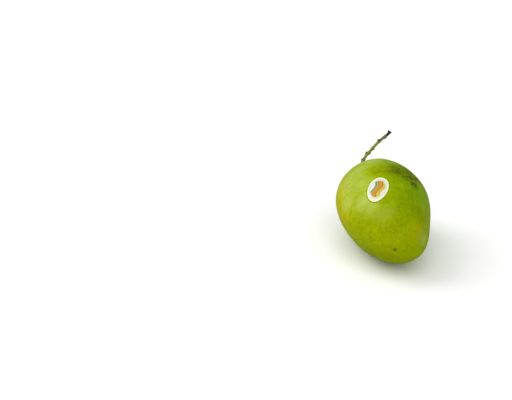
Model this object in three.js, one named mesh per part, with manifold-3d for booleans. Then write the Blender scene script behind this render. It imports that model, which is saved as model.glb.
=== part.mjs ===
// A whole green mango as picked, lying on one cheek, with its cut stem and an oval label.
// Millimetres, +Z up. The origin is the middle of the small flat spot that the fruit rests on.
// The pointed end (apex) looks toward -Y, the belly edge toward +X and the back edge toward -X.
import * as THREE from "three";
import { mergeVertices } from "three/addons/utils/BufferGeometryUtils.js";
import Module from "manifold-3d";

// Fruit: overall size
const FRUIT_LENGTH = 145;
const HALF_WIDTH = 46; // back edge to belly edge
const HALF_THICKNESS = 41; // cheek to cheek

// Fruit: how its outline differs from an ellipse. Each list holds the shares of the first,
// second and third cosine along the fruit: a taper toward the apex, blunt ends, straight flanks.
const WIDTH_SHAPE = [0.141, 0.055, -0.041];
const THICKNESS_SHAPE = [0.213, 0.027, 0.013];
const APEX_DRIFT = 9.5; // the apex lies toward the belly edge
const APEX_DRIFT_POWER = 2.5;
const STEM_END_DRIFT = -2; // the stem end lies a little toward the back edge
const BOW = 1.5; // the body between them bows the other way
const BELLY_SHOULDER = 0.08; // the belly edge is full near the stem end and lean near the apex
const CORNER_SLIMMING = 0.022; // the section is leaner than an ellipse between edges and cheeks

// Fruit: how it lies
const PITCH = THREE.MathUtils.degToRad(4); // apex down
const ROLL = THREE.MathUtils.degToRad(6.4); // back edge up
const CENTRE_FROM_STEM_END = 0.47 * FRUIT_LENGTH;
const CENTRE_FROM_RESTING_SPOT = new THREE.Vector3(-1.2, -1.9, 39.5);

// Stem seat: the shallow basin that the stem stands in
const SEAT_ALONG = THREE.MathUtils.degToRad(21);
const SEAT_AROUND = THREE.MathUtils.degToRad(141);
const SEAT_DEPTH = 2;
const SEAT_RADIUS = 8;
const SEAT_LIP = 0.9; // how strongly the basin's edge is raised

// Stem: its route from the first bend above the seat to the cut end, and its thickness
const STEM_ROUTE = [
  new THREE.Vector3(-16, 64.5, 58.5),
  new THREE.Vector3(-14, 69, 62.5),
  new THREE.Vector3(-11, 72, 67.5),
  new THREE.Vector3(-5.5, 75, 72.5),
  new THREE.Vector3(0.5, 78, 78),
  new THREE.Vector3(7, 80.5, 83.5),
  new THREE.Vector3(13, 83, 89),
];
const STEM_RADIUS = 1.7;
const STEM_FOOT_RADIUS = 2.9;
const STEM_FOOT_HEIGHT = 1.6;
const STEM_FOOT_LIFT = 0.4; // the basin's floor curves up under the rim of the foot
const STEM_CUT_RADIUS = 3.1;
const STEM_CUT_FLARE = 1.9;

// Stem knobs: scars of the side twigs. `at` is the share of the stem's length, `turn` the angle
// around it, counted from its upper side, and `radius` the knob's own size.
const STEM_KNOBS = [
  { at: 0.27, turn: 0, radius: 1.5 },
  { at: 0.34, turn: 110, radius: 1.2 },
  { at: 0.41, turn: 10, radius: 1.7 },
  { at: 0.42, turn: 175, radius: 1.6 },
  { at: 0.53, turn: 190, radius: 1.5 },
  { at: 0.62, turn: 80, radius: 1.2 },
  { at: 0.73, turn: 0, radius: 1.6 },
  { at: 0.86, turn: 185, radius: 1.6 },
];

// Label: a thin oval on the upper cheek, turned from the line that runs toward the stem end
const LABEL_ALONG = THREE.MathUtils.degToRad(104);
const LABEL_AROUND = THREE.MathUtils.degToRad(114.6);
const LABEL_TURN = THREE.MathUtils.degToRad(-25.5);
const LABEL_HALF_LENGTH = 16;
const LABEL_HALF_WIDTH = 10;
const LABEL_THICKNESS = 0.3;

// Clearance between pieces, and how finely the faces are cut
const GAP = 0.3;
const FRUIT_RINGS = 52;
const FRUIT_SIDES = 56;
const STEM_RINGS = 42;
const STEM_SIDES = 12;
const LABEL_RINGS = 4;
const LABEL_SIDES = 36;
const GROUND_BOX = 300;

const wasm = await Module();
wasm.setup();

const LIE = new THREE.Matrix4()
  .makeTranslation(CENTRE_FROM_RESTING_SPOT)
  .multiply(new THREE.Matrix4().makeRotationX(PITCH))
  .multiply(new THREE.Matrix4().makeRotationY(ROLL))
  .multiply(new THREE.Matrix4().makeTranslation(0, CENTRE_FROM_STEM_END, 0));

// How wide or thick the fruit is at a place along it, as a share of its half size
function fullness(shape, along) {
  const cosines = shape.reduce((sum, part, order) => sum + part * Math.cos((order + 1) * along), 1);
  return Math.sin(along) * cosines;
}

// A point on the smooth fruit. `along` runs from 0 at the stem end to PI at the apex, and
// `around` from 0 at the belly edge, over the upper cheek, to PI at the back edge.
function smoothSkin(along, around) {
  const end = Math.cos(along);
  const swell = Math.sin(along);
  const share = (1 - end) / 2;
  const width = HALF_WIDTH * fullness(WIDTH_SHAPE, along);
  const thickness = HALF_THICKNESS * fullness(THICKNESS_SHAPE, along);
  const drift =
    APEX_DRIFT * share ** APEX_DRIFT_POWER +
    STEM_END_DRIFT * (1 - share) ** 2 +
    BOW * swell ** 2 * end;
  const slim = 1 - CORNER_SLIMMING * Math.sin(2 * around) ** 2;
  const belly = 1 + BELLY_SHOULDER * Math.cos(around) * swell * end;
  return new THREE.Vector3(
    drift + width * slim * belly * Math.cos(around),
    -FRUIT_LENGTH * share,
    thickness * slim * Math.sin(around)
  ).applyMatrix4(LIE);
}

// The outward normal of a surface given by a function of along and around
function outwardNormal(surface, along, around) {
  const step = 1e-3;
  const lengthwise = surface(along + step, around).sub(surface(along - step, around));
  const sideways = surface(along, around + step).sub(surface(along, around - step));
  return sideways.cross(lengthwise).normalize();
}

const SEAT_CENTRE = smoothSkin(SEAT_ALONG, SEAT_AROUND);
const SEAT_AXIS = outwardNormal(smoothSkin, SEAT_ALONG, SEAT_AROUND);

// The fruit's skin: the smooth fruit with the basin of the stem pressed into it
function skin(along, around) {
  const point = smoothSkin(along, around);
  const spread = point.distanceToSquared(SEAT_CENTRE) / SEAT_RADIUS ** 2;
  const dip = SEAT_DEPTH * (1 - SEAT_LIP * spread) * Math.exp(-spread);
  return point.addScaledVector(SEAT_AXIS, -dip);
}

// A closed solid through rings of points, with one point closing each end. Each ring runs
// counter-clockwise for someone who looks back at the rings from their last end.
function loft(rings, start, finish) {
  const sides = rings[0].length;
  const positions = [start, ...rings.flat(), finish].flatMap((point) => point.toArray());
  const last = rings.length * sides + 1;
  const index = [];
  for (let side = 0; side < sides; side++) {
    const next = (side + 1) % sides;
    index.push(0, 1 + next, 1 + side);
    index.push(last, last - sides + side, last - sides + next);
    for (let ring = 0; ring < rings.length - 1; ring++) {
      const low = 1 + ring * sides;
      const high = low + sides;
      index.push(low + side, low + next, high + side);
      index.push(low + next, high + next, high + side);
    }
  }
  const geometry = new THREE.BufferGeometry();
  geometry.setAttribute("position", new THREE.Float32BufferAttribute(positions, 3));
  geometry.setIndex(index);
  return geometry;
}

function toManifold(geometry) {
  const bare = geometry.clone();
  bare.deleteAttribute("normal");
  bare.deleteAttribute("uv");
  const merged = mergeVertices(bare, 1e-4);
  const vertProperties = new Float32Array(merged.attributes.position.array);
  const triVerts = new Uint32Array(merged.index.array);
  return new wasm.Manifold(new wasm.Mesh({ numProp: 3, vertProperties, triVerts }));
}

function fromManifold(solid) {
  const mesh = solid.getMesh();
  const geometry = new THREE.BufferGeometry();
  geometry.setAttribute("position", new THREE.Float32BufferAttribute(mesh.vertProperties, 3));
  geometry.setIndex(Array.from(mesh.triVerts));
  geometry.computeVertexNormals();
  return geometry;
}

function makeFruit() {
  const rings = [];
  for (let ring = 1; ring < FRUIT_RINGS; ring++) {
    const along = (Math.PI * ring) / FRUIT_RINGS;
    const points = [];
    for (let side = 0; side < FRUIT_SIDES; side++) {
      points.push(skin(along, (2 * Math.PI * side) / FRUIT_SIDES));
    }
    rings.push(points);
  }
  const whole = toManifold(loft(rings, skin(0, 0), skin(Math.PI, 0)));
  const below = new THREE.BoxGeometry(GROUND_BOX, GROUND_BOX, GROUND_BOX);
  below.translate(0, 0, -GROUND_BOX / 2);
  return fromManifold(whole.subtract(toManifold(below)));
}

// The stem's radius, with its foot on the skin and its flare at the cut end
function stemRadius(distance, length) {
  const foot = (STEM_FOOT_RADIUS - STEM_RADIUS) * Math.exp(-((distance / STEM_FOOT_HEIGHT) ** 2));
  const fromCut = (length - distance) / STEM_CUT_FLARE;
  const flare = (STEM_CUT_RADIUS - STEM_RADIUS) * Math.exp(-(fromCut ** 2));
  return STEM_RADIUS + foot + flare;
}

// The direction across the stem, `turn` degrees from its upper side
function across(tangent, turn) {
  const upper = new THREE.Vector3(-1, 0, 1);
  upper.addScaledVector(tangent, -upper.dot(tangent)).normalize();
  return upper.applyAxisAngle(tangent, THREE.MathUtils.degToRad(turn));
}

function makeStem() {
  const foot = SEAT_CENTRE.clone().addScaledVector(SEAT_AXIS, GAP + STEM_FOOT_LIFT - SEAT_DEPTH);
  const route = new THREE.CatmullRomCurve3([foot, ...STEM_ROUTE], false, "centripetal");
  const length = route.getLength();
  const rings = [];
  for (let ring = 0; ring <= STEM_RINGS; ring++) {
    const share = ring / STEM_RINGS;
    const centre = route.getPointAt(share);
    const tangent = ring === 0 ? SEAT_AXIS : route.getTangentAt(share);
    const radius = stemRadius(share * length, length);
    const points = [];
    for (let side = 0; side < STEM_SIDES; side++) {
      points.push(across(tangent, (360 * side) / STEM_SIDES).multiplyScalar(radius).add(centre));
    }
    rings.push(points);
  }
  let stem = toManifold(loft(rings, foot, route.getPointAt(1)));
  for (const { at, turn, radius } of STEM_KNOBS) {
    const knob = new THREE.SphereGeometry(radius, 12, 8);
    const centre = across(route.getTangentAt(at), turn).multiplyScalar(STEM_RADIUS * 0.75);
    knob.translate(...centre.add(route.getPointAt(at)));
    stem = stem.add(toManifold(knob));
  }
  return fromManifold(stem);
}

// Finds along and around of the skin point that lies straight under a place on a tangent plane
function underPlane(origin, lengthAxis, widthAxis, offsetLength, offsetWidth) {
  const step = 1e-3;
  let along = LABEL_ALONG;
  let around = LABEL_AROUND;
  const place = (a, b) => {
    const offset = skin(a, b).sub(origin);
    return [offset.dot(lengthAxis) - offsetLength, offset.dot(widthAxis) - offsetWidth];
  };
  for (let round = 0; round < 8; round++) {
    const [errorLength, errorWidth] = place(along, around);
    const [alongLength, alongWidth] = place(along + step, around).map((v, i) =>
      (v - [errorLength, errorWidth][i]) / step);
    const [aroundLength, aroundWidth] = place(along, around + step).map((v, i) =>
      (v - [errorLength, errorWidth][i]) / step);
    const determinant = alongLength * aroundWidth - aroundLength * alongWidth;
    along -= (errorLength * aroundWidth - aroundLength * errorWidth) / determinant;
    around -= (alongLength * errorWidth - errorLength * alongWidth) / determinant;
  }
  return [along, around];
}

function makeLabel() {
  const origin = skin(LABEL_ALONG, LABEL_AROUND);
  const normal = outwardNormal(skin, LABEL_ALONG, LABEL_AROUND);
  const towardStem = smoothSkin(LABEL_ALONG - 1e-3, LABEL_AROUND).sub(origin);
  towardStem.addScaledVector(normal, -towardStem.dot(normal)).normalize();
  const lengthAxis = towardStem.applyAxisAngle(normal, LABEL_TURN);
  const widthAxis = normal.clone().cross(lengthAxis);
  const lifted = (share, angle, lift) => {
    const place = underPlane(
      origin, lengthAxis, widthAxis,
      share * LABEL_HALF_LENGTH * Math.cos(angle), share * LABEL_HALF_WIDTH * Math.sin(angle)
    );
    return skin(...place).addScaledVector(outwardNormal(skin, ...place), lift);
  };
  const ringAt = (share, lift) => {
    const points = [];
    for (let side = 0; side < LABEL_SIDES; side++) {
      points.push(lifted(share, (2 * Math.PI * side) / LABEL_SIDES, lift));
    }
    return points;
  };
  const rings = [];
  for (let ring = 1; ring <= LABEL_RINGS; ring++) {
    rings.push(ringAt(ring / LABEL_RINGS, GAP));
  }
  for (let ring = LABEL_RINGS; ring >= 1; ring--) {
    rings.push(ringAt(ring / LABEL_RINGS, GAP + LABEL_THICKNESS));
  }
  const geometry = loft(rings, lifted(0, 0, GAP), lifted(0, 0, GAP + LABEL_THICKNESS));
  geometry.computeVertexNormals();
  return geometry;
}

function piece(name, geometry, color, roughness) {
  const material = new THREE.MeshStandardMaterial({ color, roughness, metalness: 0 });
  const mesh = new THREE.Mesh(geometry, material);
  mesh.name = name;
  return mesh;
}

const group = new THREE.Group();
group.add(piece("fruit", makeFruit(), 0x8ca51e, 0.45));
group.add(piece("stem", makeStem(), 0x7d7d46, 0.8));
group.add(piece("sticker", makeLabel(), 0xf5f0d7, 0.35));

export default group;
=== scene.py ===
"""A whole green mango lying on one cheek: fruit, cut stalk, pores, sap marks, end scar and oval label.

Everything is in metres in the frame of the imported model: +Z up, the origin in the middle of the
flat spot that the fruit rests on, the pointed end (apex) toward -Y, the belly edge toward +X.
"""
import logging
import math
from collections.abc import Callable
from dataclasses import dataclass, field, replace
from enum import Enum
from functools import reduce

import bpy
import numpy as np
from mathutils import Euler, Matrix, Vector
from mathutils.bvhtree import BVHTree


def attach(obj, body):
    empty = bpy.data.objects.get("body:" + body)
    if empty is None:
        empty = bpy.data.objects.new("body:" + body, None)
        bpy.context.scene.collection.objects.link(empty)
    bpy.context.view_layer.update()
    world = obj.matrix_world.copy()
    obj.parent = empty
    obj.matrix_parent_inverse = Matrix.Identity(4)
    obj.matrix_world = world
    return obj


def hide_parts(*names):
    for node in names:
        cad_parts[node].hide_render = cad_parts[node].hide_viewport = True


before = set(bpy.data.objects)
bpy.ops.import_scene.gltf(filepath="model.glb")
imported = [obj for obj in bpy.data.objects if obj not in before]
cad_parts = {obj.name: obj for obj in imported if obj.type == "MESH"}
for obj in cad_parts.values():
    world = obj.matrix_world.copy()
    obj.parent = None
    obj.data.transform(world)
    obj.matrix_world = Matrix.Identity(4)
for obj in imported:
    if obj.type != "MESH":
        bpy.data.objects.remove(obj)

LOG = logging.getLogger("mango")
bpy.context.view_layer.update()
MM = 0.001

Tree = bpy.types.NodeTree
Node = bpy.types.Node
Socket = bpy.types.NodeSocket
Material = bpy.types.Material
Piece = bpy.types.Object
Colour = tuple[float, float, float, float]
Triple = tuple[float, float, float]
Angles = tuple[float, float]


class Solid(Enum):
    """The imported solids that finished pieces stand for."""

    FRUIT = "fruit"
    STEM = "stem"
    STICKER = "sticker"


class Slot(Enum):
    """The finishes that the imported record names."""

    SKIN = "skin"
    STEM = "stem"
    LABEL = "label"


def screen_colour(red: int, green: int, blue: int) -> Colour:
    """Turns a colour as a screen shows it into the linear colour that shaders use.

    Args:
        red: Strength of the red light, 0 to 255.
        green: Strength of the green light, 0 to 255.
        blue: Strength of the blue light, 0 to 255.

    Returns:
        Red, green, blue and full alpha, each 0 to 1.
    """
    parts = (part / 255 for part in (red, green, blue))
    linear = [part / 12.92 if part <= 0.04045 else ((part + 0.055) / 1.055) ** 2.4 for part in parts]
    return (linear[0], linear[1], linear[2], 1.0)


# Numbers that vary over a surface, and the node sheets that hold them


def squared_distance(place: "Place", middle: Vector) -> "Quantity":
    """The square of the distance from a fixed point, for numbers, arrays and fields alike."""
    return sum((part - centre) ** 2 for part, centre in zip(place, middle))


def part_along(place: "Place", direction: Vector) -> "Quantity":
    """How far a place lies along a direction."""
    return sum(part * share for part, share in zip(place, direction))


def arithmetic(operation: str, turned: bool = False) -> Callable[["Field", "Quantity"], "Field"]:
    """Makes the method behind a sign or a comparison of two numbers.

    Args:
        operation: The Math node's operation.
        turned: Whether the other number comes first.

    Returns:
        The method.
    """

    def method(self: "Field", other: "Quantity") -> "Field":
        """This number and another, in the sign's order."""
        return self.calculate(operation, *((other, self) if turned else (self, other)))

    return method


class Field:
    """A number that varies over a surface, given by one output of a node tree, with usual arithmetic."""

    __add__, __radd__ = arithmetic("ADD"), arithmetic("ADD", turned=True)
    __sub__, __rsub__ = arithmetic("SUBTRACT"), arithmetic("SUBTRACT", turned=True)
    __mul__, __rmul__ = arithmetic("MULTIPLY"), arithmetic("MULTIPLY", turned=True)
    __pow__, __rpow__ = arithmetic("POWER"), arithmetic("POWER", turned=True)
    __truediv__ = arithmetic("DIVIDE")
    at_most, at_least = arithmetic("MINIMUM"), arithmetic("MAXIMUM")
    angle_from = arithmetic("ARCTAN2")

    def __init__(self, tree: Tree, socket: Socket) -> None:
        """Keeps the tree and the output that gives the number."""
        self.tree = tree
        self.socket = socket

    def calculate(self, operation: str, *values: "Quantity") -> "Field":
        """Runs one Math node.

        Args:
            operation: The Math node's operation.
            values: Its inputs in order, fields or plain numbers.

        Returns:
            The result as a field.
        """
        node = self.tree.nodes.new("ShaderNodeMath")
        node.operation = operation
        for slot, value in zip(node.inputs, values):
            feed(self.tree, value, slot)
        return Field(self.tree, node.outputs[0])

    def __neg__(self) -> "Field":
        """This number with the other sign."""
        return self * -1.0

    def sine(self) -> "Field":
        """The sine of this number, an angle in radians."""
        return self.calculate("SINE", self)

    def root(self) -> "Field":
        """The square root of this number."""
        return self.calculate("SQRT", self)

    def size(self) -> "Field":
        """This number without its sign."""
        return self.calculate("ABSOLUTE", self)

    def step(self, start: "Quantity", end: "Quantity") -> "Field":
        """Rises smoothly from 0 to 1.

        Args:
            start: Where it is still 0.
            end: Where it has reached 1; below start, the step runs downward.

        Returns:
            The smooth step as a field.
        """
        node = self.tree.nodes.new("ShaderNodeMapRange")
        node.interpolation_type = "SMOOTHSTEP"
        for name, value in (("Value", self), ("From Min", start), ("From Max", end)):
            feed(self.tree, value, node.inputs[name])
        return Field(self.tree, node.outputs["Result"])


Quantity = float | np.ndarray | Field
Place = tuple[Quantity, Quantity, Quantity]


def feed(tree: Tree, value: object, slot: Socket) -> None:
    """Gives a socket its value.

    Args:
        tree: The tree that the socket belongs to.
        value: A field or an output to link, or a plain value to set.
        slot: The socket.
    """
    if isinstance(value, Field):
        tree.links.new(value.socket, slot)
    elif isinstance(value, Socket):
        tree.links.new(value, slot)
    else:
        slot.default_value = value


def find_socket(sockets: bpy.types.bpy_prop_collection, name: str) -> Socket:
    """The socket of that name which is in use."""
    return next(socket for socket in sockets if socket.name == name and socket.enabled)


class Sheet:
    """A node tree while it is laid out."""

    def __init__(self, tree: Tree) -> None:
        """Keeps the tree."""
        self.tree = tree

    def add(self, kind: str, inputs: dict[str, object] | None = None, **settings: object) -> Node:
        """Adds one node.

        Args:
            kind: The node's type.
            inputs: What its sockets get, by socket name.
            settings: The node's own settings, by property name.

        Returns:
            The node.
        """
        node = self.tree.nodes.new(kind)
        for name, value in settings.items():
            setattr(node, name, value)
        for name, value in (inputs or {}).items():
            feed(self.tree, value, find_socket(node.inputs, name))
        return node

    def result(self, kind: str, inputs: dict[str, object] | None = None, **settings: object) -> Socket:
        """Adds one node, as in add, and gives its first output."""
        return self.add(kind, inputs, **settings).outputs[0]

    def number(self, node: Node, name: str) -> Field:
        """One output of a node as a field."""
        return Field(self.tree, find_socket(node.outputs, name))

    def split(self, vector: Socket) -> tuple[Field, Field, Field]:
        """The three numbers of a vector."""
        node = self.add("ShaderNodeSeparateXYZ", {"Vector": vector})
        return tuple(Field(self.tree, output) for output in node.outputs)

    def join(self, x: Quantity, y: Quantity, z: Quantity) -> Socket:
        """A vector of three numbers."""
        return self.result("ShaderNodeCombineXYZ", {"X": x, "Y": y, "Z": z})

    def combine(self, operation: str, first: object, second: object) -> Socket:
        """Makes one vector of two.

        Args:
            operation: The Vector Math node's operation.
            first: The first vector.
            second: The second vector.

        Returns:
            The result.
        """
        node = self.add("ShaderNodeVectorMath", operation=operation)
        feed(self.tree, first, node.inputs[0])
        feed(self.tree, second, node.inputs[1])
        return node.outputs[0]

    def noise(self, vector: Socket, scale: Quantity, detail: float = 2.0) -> Field:
        """Soft noise from 0 to 1, with scale waves per unit of the vector and some finer ones added."""
        inputs = {"Vector": vector, "Scale": scale, "Detail": detail}
        return Field(self.tree, self.result("ShaderNodeTexNoise", inputs))


class GroupSheet(Sheet):
    """A node group, with sockets made by name."""

    def __init__(self, name: str, kind: str) -> None:
        """Starts an empty group of that kind.

        Args:
            name: The group's name.
            kind: The type of node tree.
        """
        super().__init__(bpy.data.node_groups.new(name, kind))
        self.entry = self.tree.nodes.new("NodeGroupInput")
        self.exit = self.tree.nodes.new("NodeGroupOutput")
        self.values: dict[str, object] = {}

    def take(self, name: str, kind: str, value: object = None) -> Socket:
        """Makes an input.

        Args:
            name: The input's name.
            kind: The socket's type, without its leading NodeSocket.
            value: Its value, where it has one of its own.

        Returns:
            The socket inside the group that gives the input.
        """
        item = self.tree.interface.new_socket(name, in_out="INPUT", socket_type="NodeSocket" + kind)
        if value is not None:
            item.default_value = value
            self.values[item.identifier] = value
        return self.entry.outputs[name]

    def take_number(self, name: str, value: float) -> Field:
        """Makes an input that is a plain number."""
        return Field(self.tree, self.take(name, "Float", value))

    def give(self, name: str, kind: str, value: object) -> None:
        """Makes an output of that name and kind, fed by a field or a socket inside the group."""
        self.tree.interface.new_socket(name, in_out="OUTPUT", socket_type="NodeSocket" + kind)
        feed(self.tree, value, self.exit.inputs[name])


class GeometrySheet(GroupSheet):
    """A geometry tree that ends in real geometry with its material set."""

    def __init__(self, name: str) -> None:
        """Starts an empty geometry tree."""
        super().__init__(name, "GeometryNodeTree")
        self.tree.is_modifier = True

    def position(self) -> Socket:
        """Where each point is."""
        return self.result("GeometryNodeInputPosition")

    def chance(self, seed: object, most: float = 1.0) -> Field:
        """A random number from 0 to most for each point."""
        node = self.add("FunctionNodeRandomValue", {"Seed": seed, "Max": most}, data_type="FLOAT")
        return self.number(node, "Value")

    def store(self, geometry: object, name: str, value: object, kind: str = "FLOAT") -> Socket:
        """Keeps a value on the points under a name, as a number or as a FLOAT_VECTOR."""
        inputs = {"Geometry": geometry, "Name": name, "Value": value}
        return self.result("GeometryNodeStoreNamedAttribute", inputs, data_type=kind, domain="POINT")

    def recall(self, name: str, kind: str = "FLOAT") -> Socket:
        """The values that store kept under a name."""
        node = self.add("GeometryNodeInputNamedAttribute", {"Name": name}, data_type=kind)
        return find_socket(node.outputs, "Attribute")

    def push(self, geometry: object, distance: Field) -> Socket:
        """Moves each point along its normal by a distance.

        Args:
            geometry: What is moved.
            distance: How far.

        Returns:
            The moved geometry.
        """
        normal = self.result("GeometryNodeInputNormal")
        push = self.result("ShaderNodeVectorMath", {"Vector": normal, "Scale": distance}, operation="SCALE")
        return self.result("GeometryNodeSetPosition", {"Geometry": geometry, "Offset": push})

    def finish(self, geometry: object, material: Material) -> None:
        """Ends the tree with smooth faces, real geometry and its material.

        Args:
            geometry: What the tree has made.
            material: What it is covered with.
        """
        real = self.result("GeometryNodeRealizeInstances", {"Geometry": geometry})
        smooth = self.result("GeometryNodeSetShadeSmooth", {"Geometry": real})
        covered = self.result("GeometryNodeSetMaterial", {"Geometry": smooth, "Material": material})
        self.give("Geometry", "Geometry", covered)

    def grow(self, name: str, start_data: bpy.types.ID) -> Piece:
        """Runs the tree with its inputs' values and keeps its result as a plain mesh.

        Args:
            name: The finished piece's name.
            start_data: The mesh or curve that the tree starts from.

        Returns:
            The finished piece, at the origin, with no modifier.
        """
        start = put_in_scene(name + "_start", start_data)
        modifier = start.modifiers.new("growth", "NODES")
        modifier.node_group = self.tree
        for identifier, value in self.values.items():
            modifier[identifier] = value
        graph = bpy.context.evaluated_depsgraph_get()
        mesh = bpy.data.meshes.new_from_object(start.evaluated_get(graph), depsgraph=graph)
        bpy.data.objects.remove(start)
        return show_mesh(name, mesh)


def put_in_scene(name: str, data: bpy.types.ID) -> Piece:
    """Puts a mesh, curve, light or camera in the scene at the origin.

    Args:
        name: The new object's name.
        data: What the object shows.

    Returns:
        The object.
    """
    piece = bpy.data.objects.new(name, data)
    bpy.context.scene.collection.objects.link(piece)
    return piece


def show_mesh(name: str, mesh: bpy.types.Mesh) -> Piece:
    """Puts a mesh in the scene at the origin, under its own name."""
    mesh.name = name
    return put_in_scene(name, mesh)


def mount_piece(piece: Piece, slot: Slot, stands_for: Solid | None = None) -> None:
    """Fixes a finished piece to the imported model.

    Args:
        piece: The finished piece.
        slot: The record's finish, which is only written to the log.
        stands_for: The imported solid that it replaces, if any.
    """
    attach(piece, "root")
    if stands_for:
        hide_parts(stands_for.value)
    faces = sum(len(face.vertices) - 2 for face in piece.data.polygons)
    LOG.info("%s: %d triangles, finish %s", piece.name, faces, slot.value)


# Effects that several finishes share, as shader node groups


class Effect(Enum):
    """The effects that several finishes share."""

    PATCH = "Patch"
    MOTTLE = "Mottle"
    FLECKS = "Flecks"


class Effects:
    """Builds each shared shader group once, and places it with its own values."""

    def __init__(self) -> None:
        """Starts with no groups built."""
        self.groups: dict[Effect, Tree] = {}

    def lay_out_patch(self, sheet: GroupSheet, place: Socket) -> Field:
        """A soft patch round a place on the surface, with a ragged edge.

        Args:
            sheet: The group's sheet.
            place: Where on the surface.

        Returns:
            The patch's mask.
        """
        centre = sheet.take("Centre", "Vector")
        reach = sheet.take_number("Reach", 0.01)
        ragged = sheet.take_number("Raggedness", 0.3)
        grain = sheet.take_number("Grain", 200.0)
        softness = sheet.take_number("Softness", 0.9)
        offset = sheet.combine("SUBTRACT", place, centre)
        distance = sheet.add("ShaderNodeVectorMath", {"Vector": offset}, operation="LENGTH")
        wander = (sheet.noise(place, grain, 3.0) - 0.5) * 2.0 * ragged
        return (sheet.number(distance, "Value") / reach + wander).step(1.0, 1.0 - softness)

    def lay_out_mottle(self, sheet: GroupSheet, place: Socket) -> Field:
        """Uneven colour: noise drawn out by a stretch, with its contrast set by two limits.

        Args:
            sheet: The group's sheet.
            place: Where on the surface.

        Returns:
            The mottle's mask.
        """
        stretch = sheet.take("Stretch", "Vector", (1.0, 1.0, 1.0))
        grain = sheet.take_number("Grain", 100.0)
        low = sheet.take_number("Low", 0.35)
        high = sheet.take_number("High", 0.65)
        return sheet.noise(sheet.combine("MULTIPLY", place, stretch), grain, 4.0).step(low, high)

    def lay_out_flecks(self, sheet: GroupSheet, place: Socket) -> Field:
        """Small round flecks of uneven size, some of them left out.

        Args:
            sheet: The group's sheet.
            place: Where on the surface.

        Returns:
            The flecks' mask.
        """
        grain = sheet.take_number("Grain", 300.0)
        size = sheet.take_number("Size", 0.2)
        share = sheet.take_number("Share", 0.5)
        cells = sheet.add("ShaderNodeTexVoronoi", {"Vector": place, "Scale": grain})
        chance = sheet.split(cells.outputs["Color"])[0]
        dot = sheet.number(cells, "Distance").step(size, size * 0.4)
        return dot * (chance - share).step(0.02, -0.02)

    def build(self, effect: Effect) -> Tree:
        """Builds the group of one effect.

        Args:
            effect: Which one.

        Returns:
            The group, which puts out the effect's mask.
        """
        lay_out = {
            Effect.PATCH: self.lay_out_patch,
            Effect.MOTTLE: self.lay_out_mottle,
            Effect.FLECKS: self.lay_out_flecks,
        }[effect]
        sheet = GroupSheet(effect.value, "ShaderNodeTree")
        sheet.give("Mask", "Float", lay_out(sheet, sheet.take("Place", "Vector")))
        return sheet.tree

    def place(self, sheet: "FinishSheet", effect: Effect, **inputs: object) -> Field:
        """Places one effect in a material.

        Args:
            sheet: The material's sheet.
            effect: Which one.
            inputs: What the group's named inputs get.

        Returns:
            The effect's mask.
        """
        if effect not in self.groups:
            self.groups[effect] = self.build(effect)
        node = sheet.add("ShaderNodeGroup", node_tree=self.groups[effect])
        for name, value in {"Place": sheet.place, **inputs}.items():
            feed(sheet.tree, value, node.inputs[name])
        return sheet.number(node, "Mask")


EFFECTS = Effects()


class FinishSheet(Sheet):
    """A material while it is laid out."""

    def __init__(self, name: str, ground: object) -> None:
        """Starts a material with one shader.

        Args:
            name: The material's name.
            ground: Its lowest colour, which the others are laid over.
        """
        self.colour = ground
        self.material = bpy.data.materials.new(name)
        self.material.use_nodes = True
        super().__init__(self.material.node_tree)
        self.shader = self.tree.nodes["Principled BSDF"]
        self.place = self.add("ShaderNodeTexCoord").outputs["Object"]

    def read(self, attribute: str) -> Node:
        """The node that reads an attribute of the piece."""
        return self.add("ShaderNodeAttribute", attribute_name=attribute)

    def flat_place(self) -> tuple[Field, Field]:
        """Where a place is in the flat shape of its piece, in metres along it and across it."""
        return self.split(self.result("ShaderNodeUVMap", uv_map="flat_place"))[:2]

    def blend(self, mask: Quantity, under: object, over: object) -> Socket:
        """Lays one colour over another, by a mask that is 1 where the colour over shows."""
        node = self.add("ShaderNodeMix", {"Factor": mask, "A": under, "B": over}, data_type="RGBA")
        return find_socket(node.outputs, "Result")

    def lay(self, mask: Quantity, tone: object) -> None:
        """Lays a colour over those laid so far, by a mask that is 1 where the new colour shows."""
        self.colour = self.blend(mask, self.colour, tone)

    def mottle(self, grain: float, low: float, high: float, stretch: Triple = (1.0, 1.0, 1.0)) -> Field:
        """Uneven colour: waves per metre, the noise values that give 0 and 1, and how it is drawn out."""
        return EFFECTS.place(self, Effect.MOTTLE, Grain=grain, Low=low, High=high, Stretch=stretch)

    def flecks(self, grain: float, size: float, share: float) -> Field:
        """Small flecks: how many per metre, their radius in their distance, and the share that is kept."""
        return EFFECTS.place(self, Effect.FLECKS, Grain=grain, Size=size, Share=share)

    def patch(self, centre: Vector, reach: float, ragged: float, grain: float) -> Field:
        """A patch round one place, whose edge wanders by a share of its reach in waves per metre."""
        inputs = {"Centre": tuple(centre), "Reach": reach, "Raggedness": ragged, "Grain": grain}
        return EFFECTS.place(self, Effect.PATCH, **inputs)

    def finish(self, roughness: object, height: Field, depth: float, **constants: float) -> Material:
        """Connects the shader.

        Args:
            roughness: The roughness over the surface.
            height: The fine relief, 0 to 1.
            depth: How deep the relief is, in metres.
            constants: Shader values that are the same all over, with _ for spaces in their names.

        Returns:
            The finished material.
        """
        bump = self.result("ShaderNodeBump", {"Height": height, "Distance": depth, "Strength": 1.0})
        varying = {"Base Color": self.colour, "Roughness": roughness, "Normal": bump}
        for name, value in varying.items():
            feed(self.tree, value, self.shader.inputs[name])
        for name, value in constants.items():
            self.shader.inputs[name.replace("_", " ")].default_value = value
        return self.material


# The fruit


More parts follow.
